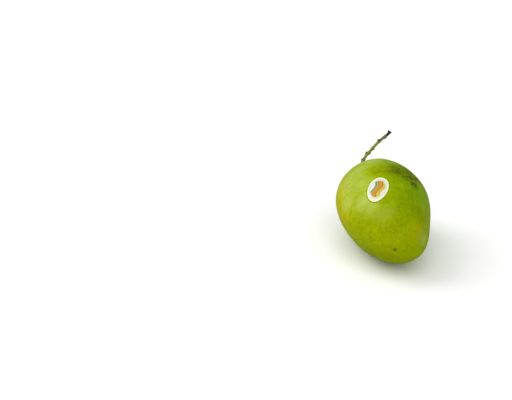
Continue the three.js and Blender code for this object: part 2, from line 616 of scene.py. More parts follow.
@dataclass(frozen=True)
class FruitForm:
    """The fruit's rule of shape.

    A place on the skin is named by a place on a unit ball: x toward the belly edge, y toward the
    upper cheek, z toward the stem end. The rule works on numbers, arrays and fields alike.
    """

    length: Quantity = 145 * MM
    half_width: Quantity = 46 * MM
    half_thickness: Quantity = 41 * MM
    width_shape: Triple = (0.141, 0.055, -0.041)
    thickness_shape: Triple = (0.213, 0.027, 0.013)
    apex_drift: float = 9.5 * MM
    apex_drift_power: float = 2.5
    stem_end_drift: float = -2 * MM
    bow: float = 1.5 * MM
    belly_shoulder: float = 0.08
    corner_slimming: float = 0.022
    pitch: float = math.radians(4)
    roll: float = math.radians(6.4)
    centre_share: float = 0.47
    centre: Triple = (-1.2 * MM, -1.9 * MM, 39.5 * MM)
    seat_along: float = math.radians(21)
    seat_around: float = math.radians(141)
    seat_depth: float = 2 * MM
    seat_radius: float = 8 * MM
    seat_lip: float = 0.9

    @staticmethod
    def fullness(shape: Triple, z: Quantity) -> Quantity:
        """How full the outline is at a place along the fruit, where an ellipse has 1."""
        return 1 + shape[0] * z + shape[1] * (2 * z**2 - 1) + shape[2] * (4 * z**3 - 3 * z)

    def smooth(self, x: Quantity, y: Quantity, z: Quantity) -> Place:
        """The fruit without its stem basin, in its own frame.

        Args:
            x: Toward the belly edge, on the unit ball.
            y: Toward the upper cheek.
            z: Toward the stem end.

        Returns:
            The place on the skin, with the stem end at the origin.
        """
        share = (1 - z) * 0.5
        swell = 1 - z**2
        drift = (
            self.apex_drift * share**self.apex_drift_power
            + self.stem_end_drift * (1 - share) ** 2
            + self.bow * swell * z
        )
        slim = 1 - 4 * self.corner_slimming * (x * y / swell) ** 2
        belly = 1 + self.belly_shoulder * x * z
        width = self.half_width * self.fullness(self.width_shape, z) * slim * belly
        thickness = self.half_thickness * self.fullness(self.thickness_shape, z) * slim
        return drift + width * x, -1 * (self.length * share), thickness * y

    @staticmethod
    def on_ball(along: float, around: float) -> Triple:
        """The unit ball's place at two angles: along from the stem end, around from the belly edge."""
        return (math.sin(along) * math.cos(around), math.sin(along) * math.sin(around), math.cos(along))

    def seat(self) -> tuple[Vector, Vector]:
        """Where the stalk stands on the smooth fruit and which way the skin faces there, in its own frame.

        Returns:
            The place and the direction.
        """
        step = 1e-3
        along, around = self.seat_along, self.seat_around
        spots = [(along, around), (along + step, around), (along, around + step)]
        here, lengthwise, sideways = (Vector(self.smooth(*self.on_ball(*spot))) for spot in spots)
        return here, (sideways - here).cross(lengthwise - here).normalized()

    def skin(self, x: Quantity, y: Quantity, z: Quantity, seat: tuple[Vector, Vector]) -> Place:
        """The fruit with the stalk's basin pressed in, in its own frame.

        Args:
            x: Toward the belly edge, on the unit ball.
            y: Toward the upper cheek.
            z: Toward the stem end.
            seat: The middle and the direction of the basin, as seat gives them.

        Returns:
            The place on the skin, with the stem end at the origin.
        """
        place = self.smooth(x, y, z)
        spread = squared_distance(place, seat[0]) / self.seat_radius**2
        dip = self.seat_depth * (1 - self.seat_lip * spread) * math.e ** (-spread)
        return tuple(part - direction * dip for part, direction in zip(place, seat[1]))

    def lie(self) -> Matrix:
        """The move from the fruit's own frame to how it lies.

        Returns:
            The move.
        """
        turn = Matrix.Rotation(self.pitch, 4, "X") @ Matrix.Rotation(self.roll, 4, "Y")
        to_centre = Matrix.Translation((0, self.centre_share * self.length, 0))
        return Matrix.Translation(self.centre) @ turn @ to_centre

    def at(self, along: float, around: float) -> Vector:
        """The place on the lying fruit's skin at two angles in degrees, as in on_ball."""
        ball = self.on_ball(math.radians(along), math.radians(around))
        return self.lie() @ Vector(self.skin(*ball, self.seat()))

    def outward(self, along: float, around: float) -> Vector:
        """Which way the lying fruit's skin faces at two angles in degrees.

        Args:
            along: The angle along the fruit, from the stem end.
            around: The angle around it, from the belly edge.

        Returns:
            The direction.
        """
        here = self.at(along, around)
        lengthwise = self.at(along + 0.1, around) - here
        sideways = self.at(along, around + 0.1) - here
        return sideways.cross(lengthwise).normalized()


@dataclass
class Spot:
    """Where a flat shape lies on the skin: its middle's angles, and its turn from the way to the stem."""

    place: Angles
    turn: float = 0.0
    form: FruitForm = FruitForm()

    def __post_init__(self) -> None:
        """Works out the middle, and the directions outward, along the shape and across it."""
        self.centre = self.form.at(*self.place)
        self.outward = self.form.outward(*self.place)
        to_stem = self.form.at(self.place[0] - 0.1, self.place[1]) - self.centre
        level = (to_stem - self.outward * to_stem.dot(self.outward)).normalized()
        self.lengthwise = Matrix.Rotation(math.radians(self.turn), 3, self.outward) @ level
        self.sideways = self.outward.cross(self.lengthwise)


@dataclass
class LabelPlan(Spot):
    """Where the oval label lies on the upper cheek, and its size."""

    place: Angles = (104.0, 114.6)
    turn: float = -25.5
    half_length: float = 16 * MM
    half_width: float = 10 * MM


@dataclass(frozen=True)
class MarkSet:
    """Soft markings of one kind: how far and in how many waves per metre their edges wander, and each one.

    A row has a marking's angles along and around the fruit, its reach in millimetres and its strength.
    """

    ragged: float
    grain: float
    rows: tuple[tuple[float, float, float, float], ...]


@dataclass
class SkinMarks:
    """The markings on the skin, placed by angles along and around the fruit; the bloom patches are partly
    painted highlight.
    """

    form: FruitForm = FruitForm()
    end_scar: Angles = (167.3, 174.1)
    scar_halo: MarkSet = MarkSet(0.4, 400.0, ((*end_scar, 3.2, 0.5),))
    halo: MarkSet = MarkSet(0.45, 80.0, (
        (82, 88, 20, 0.7), (80, 67, 18, 0.75), (76, 47, 15, 0.6), (82, 106, 15, 0.4), (91, 69, 11, 0.5),
        (37, 123, 6, 0.45),
    ))
    stain: MarkSet = MarkSet(0.6, 170.0, (
        (77, 83, 8, 0.6), (82.4, 81, 12, 0.64), (88, 74, 9, 0.6), (74, 66, 12, 0.75), (82, 62, 11, 0.9),
        (77, 51, 10, 0.8), (85, 63, 7, 1.0), (92, 60, 8, 0.8), (21, 141, 4.2, 0.7),
    ))
    specks: tuple[Angles, ...] = ((77.0, 83.0), (86.5, 65.0), (90.0, 61.5), (94.5, 60.5))
    ochre: MarkSet = MarkSet(0.5, 140.0, (
        (143, 61, 10, 0.46), (155, 68, 10, 0.3), (72, 305, 11, 0.3), (118, 255, 9, 0.3),
    ))
    # Pale wax bloom patches; many also stand for painted highlights where soft light falls on the upper cheek
    # and the belly edge.
    bloom_and_highlight: MarkSet = MarkSet(0.25, 60.0, (
        (109.6, 141.6, 17, 0.56), (92, 133, 18, 0.45), (76.6, 143, 20, 0.42), (96, 160, 17, 0.42),
        (85, 150, 18, 0.41), (81, 134, 16, 0.38), (70, 128, 15, 0.34), (60, 108, 14, 0.42),
        (118, 134, 15, 0.38), (128, 122, 17, 0.16), (146, 29, 14, 0.2), (21.5, 137, 11, 0.55),
    ))
    label: LabelPlan = field(default_factory=LabelPlan)


@dataclass(frozen=True)
class Layer:
    """One layer of uneven colour over the whole skin: its mottle's grain and limits, strength and tone."""

    grain: float
    low: float
    high: float
    strength: float
    tone: Colour


@dataclass(frozen=True)
class Wash:
    """A slow change of colour along a line: where it starts, where it is full, its strength and its tone."""

    start: float
    full: float
    strength: float
    tone: Colour

    def lay(self, sheet: FinishSheet, along: Field) -> None:
        """Lays the wash over a material's colour, by how far along its line each place is."""
        sheet.lay(along.step(self.start, self.full) * self.strength, self.tone)


@dataclass(frozen=True)
class SkinFinish:
    """Waxy yellow-green skin with a pale bloom and painted highlights, a pale greyish stem end that is partly
    painted sheen, olive stains, a painted shade line round the label, ochre blotches and fine dimples.
    """

    leaf: Colour = screen_colour(114, 153, 0)
    lime: Colour = screen_colour(154, 171, 0)
    yellow: Colour = screen_colour(190, 172, 0)
    olive: Colour = screen_colour(130, 142, 0)
    moss: Colour = screen_colour(114, 124, 0)
    # Dark tone of the sap stains, also used for the painted shade line round the label.
    dark_stain_and_shade: Colour = screen_colour(70, 64, 0)
    # Pale bloom tone, also used for painted highlights and painted sheen streaks.
    bloom_and_highlight: Colour = screen_colour(180, 194, 108)
    # Pale greyish tone of the stem end: partly duller skin, partly painted sheen along the top.
    dull_and_sheen: Colour = screen_colour(140, 168, 90)
    ochre: Colour = screen_colour(166, 158, 0)
    rust: Colour = screen_colour(150, 116, 20)
    cork: Colour = screen_colour(116, 96, 4)
    belly_green: Wash = Wash(-16 * MM, 18 * MM, 1.0, leaf)
    back_yellow: Wash = Wash(-32 * MM, -45 * MM, 0.66, yellow)
    apex_olive: Wash = Wash(-16 * MM, -60 * MM, 0.8, olive)
    underside_moss: Wash = Wash(36 * MM, 2 * MM, 0.8, moss)
    layers: tuple[Layer, ...] = (
        Layer(95.0, 0.48, 0.7, 0.3, moss),
        Layer(70.0, 0.48, 0.72, 0.28, lime),
        Layer(330.0, 0.44, 0.62, 0.34, moss),
        Layer(540.0, 0.46, 0.6, 0.17, lime),
        Layer(900.0, 0.45, 0.65, 0.12, moss),
    )
    relief: float = 0.12 * MM
    marks: SkinMarks = field(default_factory=SkinMarks)

    def drift(self, sheet: FinishSheet) -> Field:
        """How far the slow changes of colour wander from straight lines, in metres."""
        return (sheet.noise(sheet.place, 28.0, 3.0) - 0.5) * 30 * MM

    def lay_base(self, sheet: FinishSheet) -> None:
        """Lays the slow change from yellow at the back edge to leaf green at the belly edge.

        Args:
            sheet: The material's sheet.
        """
        x, y, z = sheet.split(sheet.place)
        drift = self.drift(sheet)
        self.belly_green.lay(sheet, x + drift)
        self.back_yellow.lay(sheet, x + drift)
        self.apex_olive.lay(sheet, y + drift)
        self.underside_moss.lay(sheet, z + 0.5 * drift + 0.3 * x)

    def streaks(self, sheet: FinishSheet, waves: tuple[float, float], limits: tuple[float, float],
                ends: float) -> Field:
        """Soft streaks from the stem end to the apex.

        Args:
            sheet: The material's sheet.
            waves: How many waves they have around the fruit and along it.
            limits: The noise values that give 0 and 1.
            ends: How far from the fruit's ends they have faded out.

        Returns:
            The mask.
        """
        u, v, w = sheet.split(sheet.read("ball_place").outputs["Vector"])
        out = (u**2 + v**2).root().at_least(0.02)
        drawn = sheet.join(u / out * waves[0], v / out * waves[0], w * waves[1])
        return sheet.noise(drawn, 1.0, 3.0).step(*limits) * out.step(0.3, ends)

    def lay_mottling(self, sheet: FinishSheet) -> None:
        """Lays streaks, pale streaks that are partly painted highlight, uneven blotches, fine grain and rusty
        scratches over the base.

        Args:
            sheet: The material's sheet.
        """
        x, y, _ = sheet.split(sheet.place)
        streaks = self.streaks(sheet, (8.0, 2.2), (0.48, 0.68), 0.75)
        sheet.lay(streaks * (0.08 + 0.24 * x.step(-34 * MM, -4 * MM)), self.lime)
        # Pale lengthwise streaks, partly real skin streaks and partly painted highlight.
        pale_streaks_and_highlight = self.streaks(sheet, (11.0, 3.4), (0.52, 0.78), 0.8)
        sheet.lay(pale_streaks_and_highlight * 0.13, self.bloom_and_highlight)
        toward_apex = y.step(-44 * MM, -66 * MM)
        sheet.lay(sheet.mottle(130.0, 0.45, 0.62) * toward_apex * 0.22, self.moss)
        for layer in self.layers:
            sheet.lay(sheet.mottle(layer.grain, layer.low, layer.high) * layer.strength, layer.tone)
        sheet.lay(sheet.flecks(340.0, 0.22, 0.5) * 0.38, self.moss)
        sheet.lay(sheet.flecks(620.0, 0.18, 0.4) * 0.3, self.bloom_and_highlight)
        scratches = sheet.mottle(520.0, 0.66, 0.72, (1.0, 0.09, 1.0)) * sheet.mottle(45.0, 0.5, 0.62)
        sheet.lay(scratches * 0.35, self.rust)

    def marked(self, sheet: FinishSheet, marks: MarkSet) -> Field:
        """Where any marking of a set lies.

        Args:
            sheet: The material's sheet.
            marks: The set.

        Returns:
            The mask.
        """
        masks = [
            sheet.patch(self.marks.form.at(along, around), reach * MM, marks.ragged, marks.grain) * strength
            for along, around, reach, strength in marks.rows
        ]
        return reduce(Field.at_least, masks)

    def lay_bloom_and_highlight(self, sheet: FinishSheet) -> Field:
        """Lays a pale greyish tone over the stem end, partly duller skin and partly painted sheen, and the
        pale wax bloom over the upper cheek, partly painted highlight.

        Args:
            sheet: The material's sheet.

        Returns:
            The mask of the bloom.
        """
        x, y, _ = sheet.split(sheet.place)
        drift = self.drift(sheet)
        # Pale greyish stem end, partly duller skin and partly painted sheen.
        stem_end = (y - drift).step(2 * MM, 44 * MM) * (x + drift).step(16 * MM, -10 * MM)
        sheet.lay(stem_end * 0.56, self.dull_and_sheen)
        # Pale wax bloom, partly painted highlight.
        bloom_and_highlight = self.marked(sheet, self.marks.bloom_and_highlight)
        worn = 0.7 + 0.3 * sheet.mottle(120.0, 0.35, 0.6)
        sheet.lay(bloom_and_highlight * worn, self.bloom_and_highlight)
        return bloom_and_highlight

    def lay_stains(self, sheet: FinishSheet) -> None:
        """Lays the stains, and a thin line of painted shade round the label, over the base.

        Args:
            sheet: The material's sheet.
        """
        blotches = 0.5 + 0.5 * sheet.mottle(230.0, 0.42, 0.58)
        sheet.lay(self.marked(sheet, self.marks.halo) * blotches, self.moss)
        worn = 0.32 + 0.4 * sheet.mottle(300.0, 0.44, 0.56) + 0.4 * sheet.mottle(560.0, 0.46, 0.56)
        sheet.lay(self.marked(sheet, self.marks.stain) * worn, self.dark_stain_and_shade)
        sheet.lay(self.marked(sheet, self.marks.ochre), self.ochre)
        sheet.lay(self.marked(sheet, self.marks.scar_halo), self.cork)
        # Painted shade: a thin dark line round the label's edge.
        sheet.lay(self.label_edge_shade(sheet) * 0.55, self.dark_stain_and_shade)

    def label_edge_shade(self, sheet: FinishSheet) -> Field:
        """The thin darker line of painted shade round the label's edge.

        Args:
            sheet: The material's sheet.

        Returns:
            The line's mask.
        """
        plan = self.marks.label
        place = [part - middle for part, middle in zip(sheet.split(sheet.place), plan.centre)]
        along = part_along(place, plan.lengthwise) / plan.half_length
        across = part_along(place, plan.sideways) / plan.half_width
        near = part_along(place, plan.outward).size().step(9 * MM, 6 * MM)
        return (along**2 + across**2).root().step(1.09, 1.02) * near

    def build(self) -> Material:
        """Makes the material.

        Returns:
            The material.
        """
        sheet = FinishSheet("waxy_skin", self.lime)
        self.lay_base(sheet)
        self.lay_mottling(sheet)
        bloom_and_highlight = self.lay_bloom_and_highlight(sheet)
        self.lay_stains(sheet)
        back_edge = sheet.split(sheet.place)[0].step(-22 * MM, -40 * MM)
        sheet.lay(sheet.flecks(460.0, 0.26, 0.55) * back_edge * 0.3, self.rust)
        roughness = 0.42 + 0.08 * sheet.mottle(260.0, 0.35, 0.65) + 0.18 * bloom_and_highlight
        dimples = sheet.noise(sheet.place, 900.0, 3.0)
        feed(sheet.tree, 0.015 + 0.36 * bloom_and_highlight, sheet.shader.inputs["Coat Weight"])
        return sheet.finish(roughness, dimples, self.relief, Specular_IOR_Level=0.008,
                            Coat_Roughness=0.36, Coat_IOR=1.4)


@dataclass
class FruitBody:
    """The whole fruit, grown as one piece."""

    form: FruitForm = FruitForm()
    finish: SkinFinish = field(default_factory=SkinFinish)
    rings: int = 210
    segments: int = 400
    waviness: float = 0.45 * MM
    wave_grain: float = 34.0

    def lay_out(self) -> GeometrySheet:
        """The tree that turns a ball into the fruit, lays it down and flattens where it rests.

        Returns:
            The tree's sheet.
        """
        sheet = GeometrySheet("Fruit Body")
        rings = sheet.take("Rings", "Int", self.rings)
        segments = sheet.take("Segments", "Int", self.segments)
        form = replace(
            self.form,
            length=sheet.take_number("Length", self.form.length),
            half_width=sheet.take_number("Half Width", self.form.half_width),
            half_thickness=sheet.take_number("Half Thickness", self.form.half_thickness),
        )
        waviness = sheet.take_number("Waviness", self.waviness)
        grain = sheet.take_number("Wave Grain", self.wave_grain)
        ball = sheet.result("GeometryNodeMeshUVSphere", {"Segments": segments, "Rings": rings})
        kept = sheet.store(ball, "ball_place", sheet.position(), "FLOAT_VECTOR")
        place = form.skin(*sheet.split(sheet.position()), self.form.seat())
        shaped = sheet.result("GeometryNodeSetPosition", {"Geometry": kept, "Position": sheet.join(*place)})
        outward = sheet.result("GeometryNodeFlipFaces", {"Mesh": shaped})
        lie = self.form.lie()
        move = {"Geometry": outward, "Translation": lie.to_translation(), "Rotation": lie.to_euler()}
        laid = sheet.result("GeometryNodeTransform", move)
        waved = sheet.push(laid, (sheet.noise(sheet.position(), grain, 2.0) - 0.5) * 2 * waviness)
        x, y, z = sheet.split(sheet.position())
        rested = sheet.join(x, y, z.at_least(0.0))
        flat = sheet.result("GeometryNodeSetPosition", {"Geometry": waved, "Position": rested})
        sheet.finish(flat, self.finish.build())
        return sheet

    def build(self) -> Piece:
        """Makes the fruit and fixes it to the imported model.

        Returns:
            The finished fruit.
        """
        piece = self.lay_out().grow("mango_fruit", bpy.data.meshes.new("seed"))
        mount_piece(piece, Slot.SKIN, Solid.FRUIT)
        return piece


class Surface:
    """A finished surface that other pieces are laid on."""

    def __init__(self, piece: Piece) -> None:
        """Sorts the piece's faces for finding places on them."""
        points = [vertex.co.copy() for vertex in piece.data.vertices]
        self.faces = BVHTree.FromPolygons(points, [tuple(face.vertices) for face in piece.data.polygons])

    def under(self, place: Vector, outward: Vector) -> Vector:
        """The surface's place straight under a place above it, where it faces outward."""
        hit = self.faces.ray_cast(place + outward * 20 * MM, -outward)[0]
        return hit if hit is not None else self.faces.find_nearest(place)[0]


@dataclass
class SkinPatch:
    """A flat shape laid onto the skin, with places in it named by lengths along it and across it."""

    spot: Spot
    surface: Surface

    def lay(self, along: float, across: float) -> Vector:
        """The skin's place under a place in the flat shape."""
        flat = self.spot.centre + self.spot.lengthwise * along + self.spot.sideways * across
        return self.surface.under(flat, self.spot.outward)

    def build_shell(self, name: str, outline: Callable[[float, float], tuple[float, float]],
                    lift: Callable[[float, float], float], shares: list[float], sides: int,
                    sink: float) -> Piece:
        """Makes a thin closed shell that follows the skin.

        Args:
            name: The piece's name.
            outline: Gives the flat place at a share of the way out and an angle.
            lift: Gives how far the top stands off the skin there.
            shares: The rings' shares of the way out, up to 1.
            sides: Points in a ring.
            sink: How far the underside lies in the skin.

        Returns:
            The shell, with its flat places in metres as its UV map.
        """
        spots = [(0.0, 0.0)] + [(share, math.tau * side / sides) for share in shares for side in range(sides)]
        flat = [outline(*spot) for spot in spots]
        around = [(side, (side + 1) % sides) for side in range(sides)]
        faces = [(0, 1 + side, 1 + after) for side, after in around]
        for low in range(1, 1 + (len(shares) - 1) * sides, sides):
            high = low + sides
            faces += [(low + side, high + side, high + after, low + after) for side, after in around]
        base = [self.lay(*place) for place in flat]
        count = len(base)
        form = bpy.data.meshes.new("form")
        form.from_pydata(base, [], faces)
        normals = [vertex.normal.copy() for vertex in form.vertices]
        bpy.data.meshes.remove(form)
        top = [place + normal * lift(*spot) for place, normal, spot in zip(base, normals, spots)]
        under = [place - normal * sink for place, normal in zip(base, normals)]
        rim = count - sides
        walls = [(rim + side, rim + side + count, rim + after + count, rim + after) for side, after in around]
        below = [tuple(count + corner for corner in reversed(face)) for face in faces]
        mesh = bpy.data.meshes.new(name)
        mesh.from_pydata(top + under, [], faces + below + walls)
        mesh.shade_smooth()
        plan = mesh.uv_layers.new(name="flat_place")
        for loop, corner in zip(mesh.loops, plan.data):
            corner.uv = flat[loop.vertex_index % count]
        return show_mesh(name, mesh)


# The label


@dataclass(frozen=True)
class Band:
    """One wavy band of the label's print: where it starts and ends, how soft its edges are, and its tone."""

    start: float
    end: float
    soft: float
    tone: Colour


@dataclass(frozen=True)
class LabelFinish:
    """Printed film: cream rim, a ring of dots, and wavy bands of yellow, orange and green on white."""

    rim: Colour = screen_colour(210, 220, 168)
    ground: Colour = screen_colour(206, 208, 202)
    brown: Colour = screen_colour(110, 80, 30)
    dots: Colour = screen_colour(132, 138, 124)
    bands: tuple[Band, ...] = (
        Band(-0.38, -0.12, 0.015, screen_colour(192, 170, 50)),
        Band(-0.12, 0.14, 0.015, screen_colour(186, 130, 8)),
        Band(0.19, 0.33, 0.015, screen_colour(122, 132, 24)),
        Band(-0.135, -0.105, 0.006, brown),
        Band(0.135, 0.165, 0.006, brown),
    )
    picture: float = 0.7
    rim_start: float = 0.85
    dot_ring: float = 0.755
    dot_size: float = 0.022
    dot_count: int = 40
    relief: float = 0.01 * MM

    @staticmethod
    def between(value: Field, low: float, high: float, soft: float = 0.015) -> Field:
        """A mask that is 1 where a value lies between two limits."""
        return value.step(low - soft, low + soft) * value.step(high + soft, high - soft)

    def build(self, plan: LabelPlan) -> Material:
        """Makes the material.

        Args:
            plan: The label's sizes.

        Returns:
            The material.
        """
        sheet = FinishSheet("printed_film", self.ground)
        along, across = (part / plan.half_length for part in sheet.flat_place())
        swollen = across / (plan.half_width / plan.half_length)
        oval = (along**2 + swollen**2).root()
        wave = across + 0.09 * (along * 5.2 + 0.5).sine() + along * 0.16
        inside = oval.step(self.picture, self.picture - 0.04)
        for band in self.bands:
            sheet.lay(inside * self.between(wave, band.start, band.end, band.soft), band.tone)
        dots = (swollen.angle_from(along) * self.dot_count).sine().step(0.0, 0.6)
        dots = dots * self.between(oval, self.dot_ring - self.dot_size, self.dot_ring + self.dot_size)
        sheet.lay(dots * 0.75, self.dots)
        sheet.lay(oval.step(self.rim_start - 0.01, self.rim_start + 0.01), self.rim)
        ink = sheet.mottle(1400.0, 0.3, 0.8)
        sheet.lay(ink * 0.1, self.rim)
        grain = sheet.noise(sheet.place, 2500.0)
        return sheet.finish(0.4 + 0.1 * ink, grain, self.relief, Specular_IOR_Level=0.25)


@dataclass
class Label:
    """The thin oval label on the upper cheek."""

    plan: LabelPlan
    surface: Surface
    finish: LabelFinish = LabelFinish()
    thickness: float = 0.22 * MM
    sink: float = 0.12 * MM
    edge: float = 0.985
    edge_rings: tuple[float, ...] = (0.94, 0.965, 0.98, 0.985, 0.989, 0.993, 0.997, 1.0)
    pucker: float = 0.16 * MM
    sides: int = 120

    def outline(self, share: float, angle: float) -> tuple[float, float]:
        """The flat place at a share of the way out, at an angle."""
        return share * self.plan.half_length * math.cos(angle), share * self.plan.half_width * math.sin(angle)

    def lift(self, share: float, angle: float) -> float:
        """How far the film's face stands off the skin, with small puckers where it can't lie flat.

        Args:
            share: The share of the way out.
            angle: The angle round the middle.

        Returns:
            The height, in metres.
        """
        near_rim = max(0.0, (share - 0.55) / 0.45) ** 2
        ripple = 0.5 + 0.5 * math.sin(7 * angle + 1.3) * math.sin(2 * angle + 0.4)
        rounding = min(1.0, (1.0 - share) / (1.0 - self.edge))
        film = self.thickness * (0.45 + 0.55 * math.sqrt(rounding))
        return film + self.pucker * near_rim * ripple * rounding

    def build(self) -> None:
        """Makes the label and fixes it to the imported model."""
        shares = [0.06 * step for step in range(1, 16)] + list(self.edge_rings)
        patch = SkinPatch(self.plan, self.surface)
        piece = patch.build_shell("label", self.outline, self.lift, shares, self.sides, self.sink)
        piece.data.materials.append(self.finish.build(self.plan))
        mount_piece(piece, Slot.LABEL, Solid.STICKER)


# The scar at the apex


@dataclass(frozen=True)
class CorkFinish:
    """Dry brown cork, cracked and matt, darker in its middle."""

    light: Colour = screen_colour(118, 98, 14)
    dark: Colour = screen_colour(64, 54, 2)
    relief: float = 0.08 * MM

    def build(self, radius: float) -> Material:
        """Makes the material.

        Args:
            radius: The radius of what it covers.

        Returns:
            The material.
        """
        sheet = FinishSheet("dry_cork", self.light)
        u, v = sheet.flat_place()
        from_middle = (u**2 + v**2).root() / radius
        cracks = sheet.mottle(2600.0, 0.42, 0.62)
        sheet.lay(cracks * 0.7, self.dark)
        sheet.lay(from_middle.step(0.5, 0.15), self.dark)
        return sheet.finish(0.75 + 0.15 * cracks, cracks, self.relief, Specular_IOR_Level=0.08)


@dataclass
class EndScar:
    """The small corky button at the apex, where the flower's style was."""

    spot: Spot
    surface: Surface
    finish: CorkFinish = CorkFinish()
    radius: float = 1.15 * MM
    height: float = 0.22 * MM
    sink: float = 0.1 * MM
    rings: int = 10
    sides: int = 40

    def outline(self, share: float, angle: float) -> tuple[float, float]:
        """The flat place at a share of the way out, at an angle; the edge is uneven."""
        reach = share * self.radius * (1 + 0.14 * math.sin(3 * angle + 0.8) + 0.08 * math.sin(7 * angle))
        return reach * math.cos(angle), reach * math.sin(angle)

    def lift(self, share: float, angle: float) -> float:
        """How far the button stands off the skin: a rim round a shallow pit, with radial cracks."""
        ring = math.sin(math.pi * min(1.0, 0.28 + 0.72 * share))
        return self.height * (0.15 + 0.85 * ring) * (1 - 0.2 * share * math.cos(9 * angle) ** 2)

    def build(self) -> None:
        """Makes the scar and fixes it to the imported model."""
        shares = [step / self.rings for step in range(1, self.rings + 1)]
        patch = SkinPatch(self.spot, self.surface)
        piece = patch.build_shell("end_scar", self.outline, self.lift, shares, self.sides, self.sink)
        piece.data.materials.append(self.finish.build(self.radius))
        mount_piece(piece, Slot.SKIN)


# Small dots strewn over a surface


@dataclass(frozen=True)
class DotFinish:
    """Small raised dots of one tone, uneven from dot to dot."""

    name: str
    light: Colour
    dark: Colour
    roughness: float = 0.6
    gloss: float = 0.2
    relief: float = 0.02 * MM

    def build(self) -> Material:
        """Makes the material.

        Returns:
            The material.
        """
        sheet = FinishSheet(self.name, self.light)
        tone = sheet.mottle(330.0, 0.3, 0.7)
        sheet.lay(tone, self.dark)
        grain = sheet.noise(sheet.place, 4000.0)
        roughness = self.roughness + 0.1 * tone
        return sheet.finish(roughness, grain, self.relief, Specular_IOR_Level=self.gloss)


@dataclass
class Dots:
    """Low domes strewn over a finished surface, more of them where a rule says."""

    name: str
    slot: Slot
    finish: DotFinish
    spacing: float
    density: float
    radius: tuple[float, float]
    height_share: float
    seed: int
    crowding: Callable[[Field, Field, Field], Field]
    longest: float = 1.0
    length_seed: int = 77
    spin_seed: int = 78
    dome_sides: int = 7
    dome_rings: int = 4

    def lay_out(self) -> GeometrySheet:
        """The tree that strews the dots.

        Returns:
            The tree's sheet.
        """
        sheet = GeometrySheet(self.name)
        skin = sheet.take("Skin", "Geometry")
        spacing = sheet.take_number("Spacing", self.spacing)
        density = sheet.take_number("Density", self.density)
        small = sheet.take_number("Smallest Radius", self.radius[0])
        large = sheet.take_number("Largest Radius", self.radius[1])
        height = sheet.take_number("Height Share", self.height_share)
        longest = sheet.take_number("Longest", self.longest)
        seed = sheet.take("Seed", "Int", self.seed)
        strewn = sheet.add(
            "GeometryNodeDistributePointsOnFaces",
            {"Mesh": skin, "Distance Min": spacing, "Density Max": density, "Seed": seed,
             "Density Factor": self.crowding(*sheet.split(sheet.position()))},
            distribute_method="POISSON",
        )
        wide = small + (large - small) * sheet.chance(seed) ** 2
        long = wide * (1.0 + (longest - 1.0) * sheet.chance(self.length_seed))
        spin = sheet.chance(self.spin_seed, math.tau)
        turned = sheet.result("FunctionNodeAxisAngleToRotation", {"Axis": (0.0, 0.0, 1.0), "Angle": spin})
        facing = sheet.result("FunctionNodeRotateRotation",
                              {"Rotation": strewn.outputs["Rotation"], "Rotate By": turned},
                              rotation_space="LOCAL")
        dome = {"Segments": self.dome_sides, "Rings": self.dome_rings}
        placed = sheet.result("GeometryNodeInstanceOnPoints", {
            "Points": strewn.outputs["Points"], "Instance": sheet.result("GeometryNodeMeshUVSphere", dome),
            "Rotation": facing, "Scale": sheet.join(long, wide, wide * height),
        })
        sheet.finish(placed, self.finish.build())
        return sheet

    def build(self, ground: Piece) -> None:
        """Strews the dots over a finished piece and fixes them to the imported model."""
        mount_piece(self.lay_out().grow(self.name, ground.data), self.slot)


# The stalk


@dataclass(frozen=True)
class Stub:
    """What is left of a side twig: where it is on the stalk, which way it looks and how big it is."""

    at: float
    turn: float
    size: float


class Route:
    """A smooth line through given points, as a centripetal Catmull-Rom curve."""

    def __init__(self, bends: list[Vector]) -> None:
        """Works out the line.

        Args:
            bends: The points that it passes through.
        """
        points = np.array(bends)
        ends = np.vstack([2 * points[0] - points[1], points, 2 * points[-1] - points[-2]])
        stretches = [self.stretch(ends[start : start + 4]) for start in range(len(bends) - 1)]
        self.points = np.vstack([*stretches, points[-1:]])
        steps = np.linalg.norm(np.diff(self.points, axis=0), axis=1)
        self.lengths = np.concatenate([[0.0], np.cumsum(steps)])
        self.length = float(self.lengths[-1])

    @staticmethod
    def between(first: np.ndarray, last: np.ndarray, start: float, end: float, now: np.ndarray) -> np.ndarray:
        """The places on the way from first to last at the moments now, leaving at start, there at end."""
        return (first * (end - now) + last * (now - start)) / (end - start)

    @staticmethod
    def stretch(four: np.ndarray, count: int = 40) -> np.ndarray:
        """The stretch between the second and the third of four points.

        Args:
            four: The four points.
            count: How many points the stretch gets, without its last.

        Returns:
            The points.
        """
        times = np.concatenate([[0.0], np.cumsum(np.sqrt(np.linalg.norm(np.diff(four, axis=0), axis=1)))])
        now = np.linspace(times[1], times[2], count, endpoint=False)[:, None]
        once = [Route.between(four[i], four[i + 1], times[i], times[i + 1], now) for i in range(3)]
        twice = [Route.between(once[i], once[i + 1], times[i], times[i + 2], now) for i in range(2)]
        return Route.between(twice[0], twice[1], times[1], times[2], now)

    def at(self, distance: float) -> Vector:
        """The place at a distance along the line."""
        return Vector([float(np.interp(distance, self.lengths, self.points[:, axis])) for axis in range(3)])

    def direction(self, distance: float) -> Vector:
        """Which way the line runs at a distance along it."""
        return (self.at(distance + 0.5 * MM) - self.at(distance - 0.5 * MM)).normalized()


